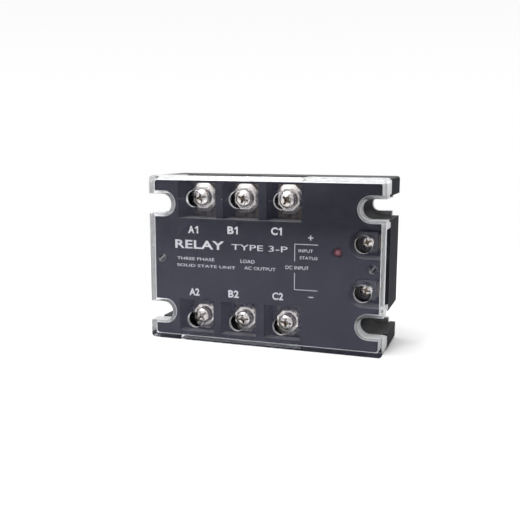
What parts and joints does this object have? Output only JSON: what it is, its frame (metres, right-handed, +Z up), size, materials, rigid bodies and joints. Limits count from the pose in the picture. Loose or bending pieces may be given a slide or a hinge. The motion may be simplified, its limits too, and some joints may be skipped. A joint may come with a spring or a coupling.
{
  "type": "solid state relay",
  "caption": "Panel-mount three-phase relay: flat metal base with open mounting slots, dark moulded housing, screw-clamp terminals and a clear clip-on cover.",
  "frame": {"origin": "on the bottom face, at the middle of the bounding box", "axes": "+X along the long side, to the right as seen from the front; +Z up; the terminals face -Y and the base plate faces +Y"},
  "size_m": [0.106, 0.037, 0.074],
  "materials": {
    "charcoal_plastic": "fine moulded texture, charcoal",
    "clear_plastic": "polished clear plastic",
    "aluminium_plate": "milled, dull",
    "nickel": "nickel plated",
    "spring_steel": "bright zinc",
    "brass": "dull, tarnished",
    "blackened_steel": "blackened",
    "circuit_board": "green solder resist",
    "epoxy": "moulded epoxy",
    "red_lens": "tinted lens, unlit",
    "ceramic": "white alumina",
    "silicon": "metallised wafer"
  },
  "bodies": {
    "relay": {"base_plate": "aluminium_plate", "housing": "charcoal_plastic", "control_board": "circuit_board", "status_led": "red_lens", "contact_bar_A1": "brass", "nut_A1": "nickel", "thyristor_A1": "silicon", "contact_bar_A2": "brass", "nut_A2": "nickel", "thyristor_A2": "silicon", "contact_bar_B1": "brass", "nut_B1": "nickel", "thyristor_B1": "silicon", "contact_bar_B2": "brass", "nut_B2": "nickel", "thyristor_B2": "silicon", "contact_bar_C1": "brass", "nut_C1": "nickel", "thyristor_C1": "silicon", "contact_bar_C2": "brass", "nut_C2": "nickel", "thyristor_C2": "silicon", "control_strip_plus": "brass", "nut_plus": "nickel", "control_strip_minus": "brass", "nut_minus": "nickel", "optocoupler_A": "epoxy", "substrate_A": "ceramic", "optocoupler_B": "epoxy", "substrate_B": "ceramic", "optocoupler_C": "epoxy", "substrate_C": "ceramic", "rear_screw_1": "nickel", "rear_screw_2": "nickel", "rear_screw_3": "nickel", "rear_screw_4": "nickel"},
    "cover": {"front_cover": "clear_plastic"},
    "clamp_A1": {"clamp_plate_A1": "nickel", "spring_washer_A1": "spring_steel"},
    "turning_screw_A1": {"screw_A1": "nickel"},
    "clamp_A2": {"clamp_plate_A2": "nickel", "spring_washer_A2": "spring_steel"},
    "turning_screw_A2": {"screw_A2": "nickel"},
    "clamp_B1": {"clamp_plate_B1": "nickel", "spring_washer_B1": "spring_steel"},
    "turning_screw_B1": {"screw_B1": "nickel"},
    "clamp_B2": {"clamp_plate_B2": "nickel", "spring_washer_B2": "spring_steel"},
    "turning_screw_B2": {"screw_B2": "nickel"},
    "clamp_C1": {"clamp_plate_C1": "nickel", "spring_washer_C1": "spring_steel"},
    "turning_screw_C1": {"screw_C1": "nickel"},
    "clamp_C2": {"clamp_plate_C2": "nickel", "spring_washer_C2": "spring_steel"},
    "turning_screw_C2": {"screw_C2": "nickel"},
    "clamp_plus": {"clamp_plate_plus": "blackened_steel"},
    "turning_screw_plus": {"screw_plus": "nickel"},
    "clamp_minus": {"clamp_plate_minus": "blackened_steel"},
    "turning_screw_minus": {"screw_minus": "nickel"}
  },
  "joints": [
    {"name": "cover_pull", "type": "slide", "parent": "relay", "child": "cover", "axis": [0, -1, 0], "range_m": [0, 0.016]},
    {"name": "turn_A1", "type": "hinge", "parent": "clamp_A1", "child": "turning_screw_A1", "pos_m": [-0.0311, 0, 0.0641], "axis": [0, -1, 0], "range_deg": [0, 1981]},
    {"name": "lift_A1", "type": "slide", "parent": "relay", "child": "clamp_A1", "axis": [0, -1, 0], "range_m": [0, 0.00385]},
    {"name": "turn_A2", "type": "hinge", "parent": "clamp_A2", "child": "turning_screw_A2", "pos_m": [-0.0311, 0, 0.0099], "axis": [0, -1, 0], "range_deg": [0, 1981]},
    {"name": "lift_A2", "type": "slide", "parent": "relay", "child": "clamp_A2", "axis": [0, -1, 0], "range_m": [0, 0.00385]},
    {"name": "turn_B1", "type": "hinge", "parent": "clamp_B1", "child": "turning_screw_B1", "pos_m": [-0.011, 0, 0.0641], "axis": [0, -1, 0], "range_deg": [0, 1981]},
    {"name": "lift_B1", "type": "slide", "parent": "relay", "child": "clamp_B1", "axis": [0, -1, 0], "range_m": [0, 0.00385]},
    {"name": "turn_B2", "type": "hinge", "parent": "clamp_B2", "child": "turning_screw_B2", "pos_m": [-0.011, 0, 0.0099], "axis": [0, -1, 0], "range_deg": [0, 1981]},
    {"name": "lift_B2", "type": "slide", "parent": "relay", "child": "clamp_B2", "axis": [0, -1, 0], "range_m": [0, 0.00385]},
    {"name": "turn_C1", "type": "hinge", "parent": "clamp_C1", "child": "turning_screw_C1", "pos_m": [0.0091, 0, 0.0641], "axis": [0, -1, 0], "range_deg": [0, 1981]},
    {"name": "lift_C1", "type": "slide", "parent": "relay", "child": "clamp_C1", "axis": [0, -1, 0], "range_m": [0, 0.00385]},
    {"name": "turn_C2", "type": "hinge", "parent": "clamp_C2", "child": "turning_screw_C2", "pos_m": [0.0091, 0, 0.0099], "axis": [0, -1, 0], "range_deg": [0, 1981]},
    {"name": "lift_C2", "type": "slide", "parent": "relay", "child": "clamp_C2", "axis": [0, -1, 0], "range_m": [0, 0.00385]},
    {"name": "turn_plus", "type": "hinge", "parent": "clamp_plus", "child": "turning_screw_plus", "pos_m": [0.0441, 0, 0.04725], "axis": [0, -1, 0], "range_deg": [0, 1981]},
    {"name": "lift_plus", "type": "slide", "parent": "relay", "child": "clamp_plus", "axis": [0, -1, 0], "range_m": [0, 0.00275]},
    {"name": "turn_minus", "type": "hinge", "parent": "clamp_minus", "child": "turning_screw_minus", "pos_m": [0.0441, 0, 0.02675], "axis": [0, -1, 0], "range_deg": [0, 1981]},
    {"name": "lift_minus", "type": "slide", "parent": "relay", "child": "clamp_minus", "axis": [0, -1, 0], "range_m": [0, 0.00275]}
  ],
  "couplings": [
    {"joint": "turn_A1", "follows": "lift_A1", "rad_per_m": 8976},
    {"joint": "turn_A2", "follows": "lift_A2", "rad_per_m": 8976},
    {"joint": "turn_B1", "follows": "lift_B1", "rad_per_m": 8976},
    {"joint": "turn_B2", "follows": "lift_B2", "rad_per_m": 8976},
    {"joint": "turn_C1", "follows": "lift_C1", "rad_per_m": 8976},
    {"joint": "turn_C2", "follows": "lift_C2", "rad_per_m": 8976},
    {"joint": "turn_plus", "follows": "lift_plus", "rad_per_m": 12566},
    {"joint": "turn_minus", "follows": "lift_minus", "rad_per_m": 12566}
  ]
}
